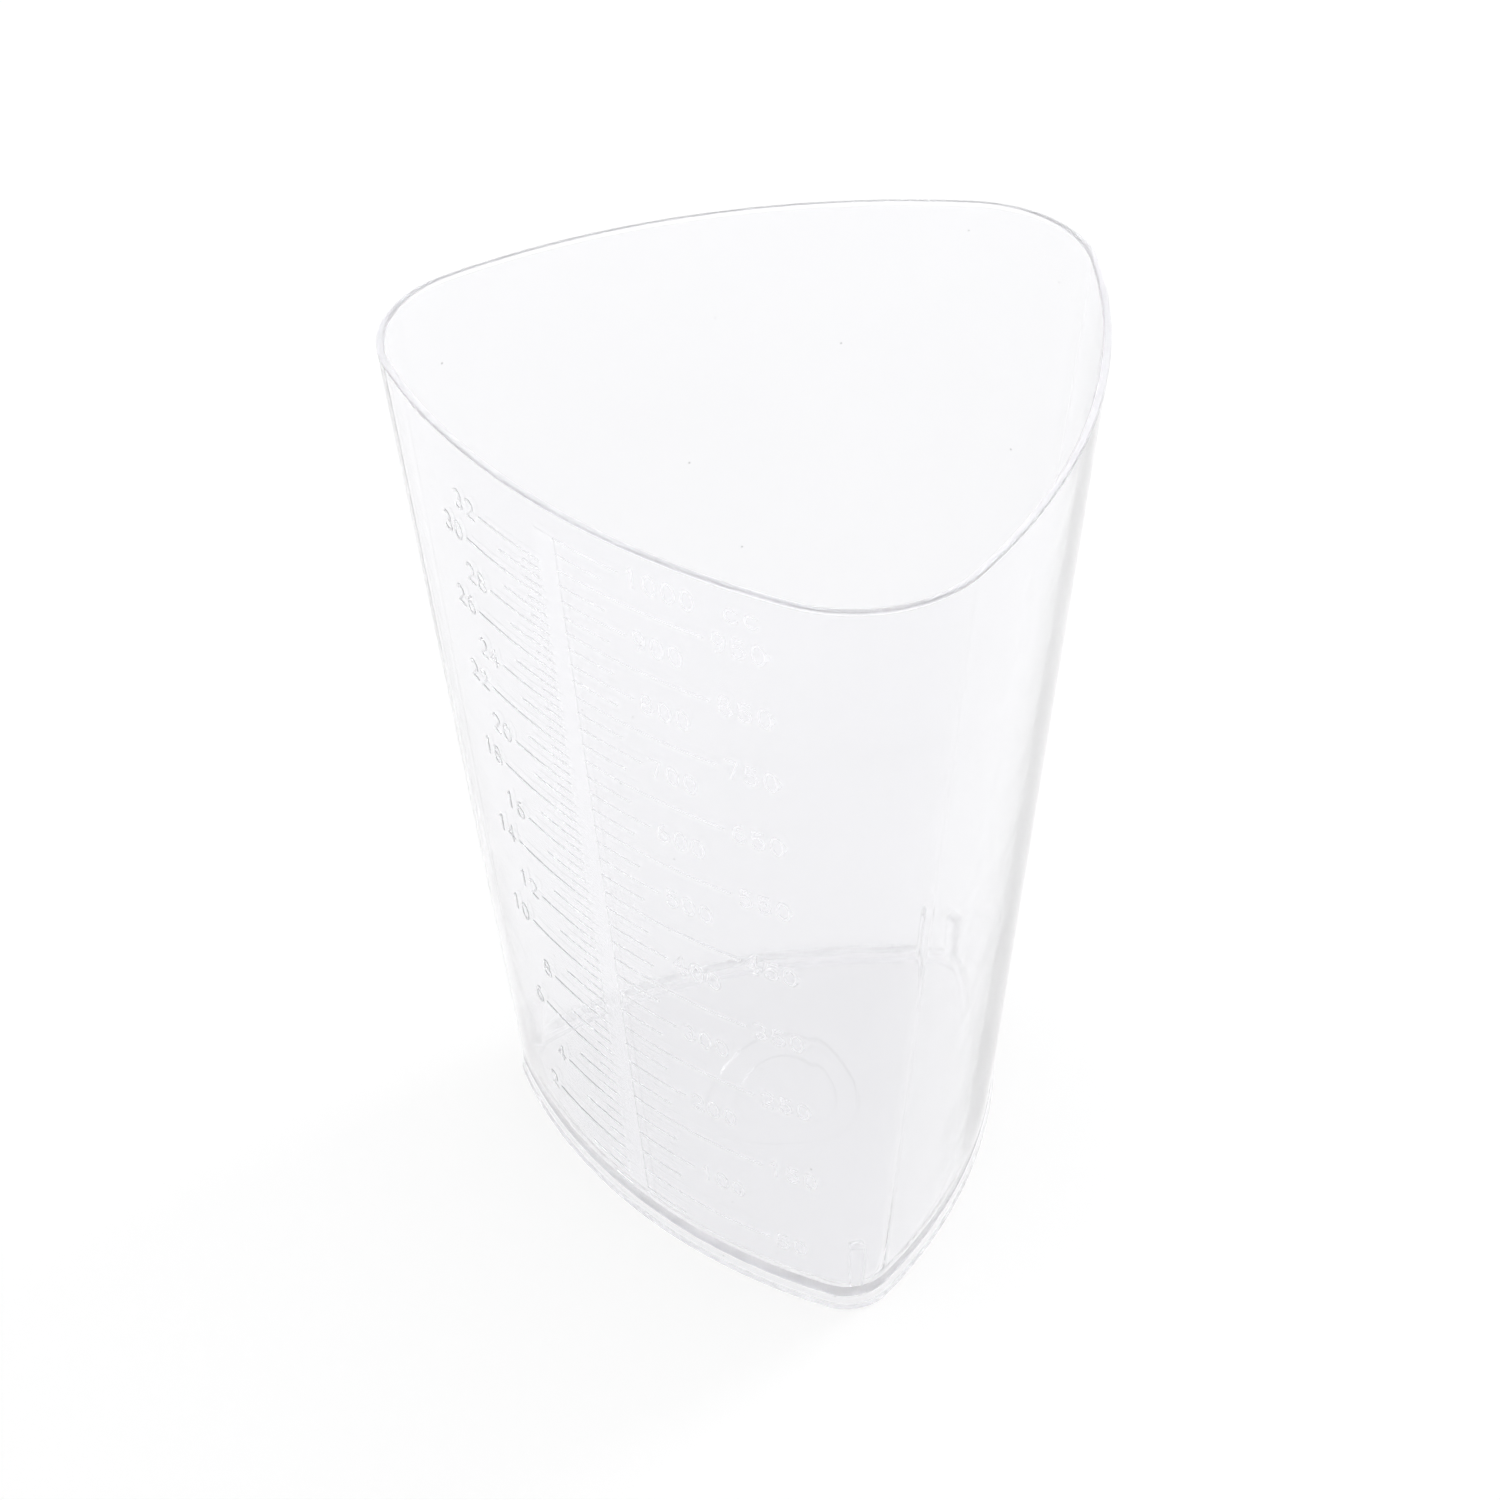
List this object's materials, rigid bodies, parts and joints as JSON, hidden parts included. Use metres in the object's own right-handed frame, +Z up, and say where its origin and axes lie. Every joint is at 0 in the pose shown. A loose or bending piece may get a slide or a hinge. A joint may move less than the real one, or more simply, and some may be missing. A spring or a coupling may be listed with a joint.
{
  "type": "measuring beaker",
  "caption": "Clear, tapered beaker with three convex sides and rounded corners, open at the top, with raised metric and fluid-ounce scales on one wall.",
  "frame": {"origin": "on the surface that the beaker stands on, in the middle of the box round the beaker; the axis of the three-sided taper is 7.1 mm from it, towards the marked wall", "axes": "+Z up along the axis of the taper, -Y out through the middle of the marked wall, +Y towards the opposite corner"},
  "size_m": [0.1148, 0.1118, 0.158],
  "materials": {
    "clear_plastic": "clear, glossy, moulded"
  },
  "bodies": {
    "root": {"beaker": "clear_plastic"}
  },
  "joints": []
}
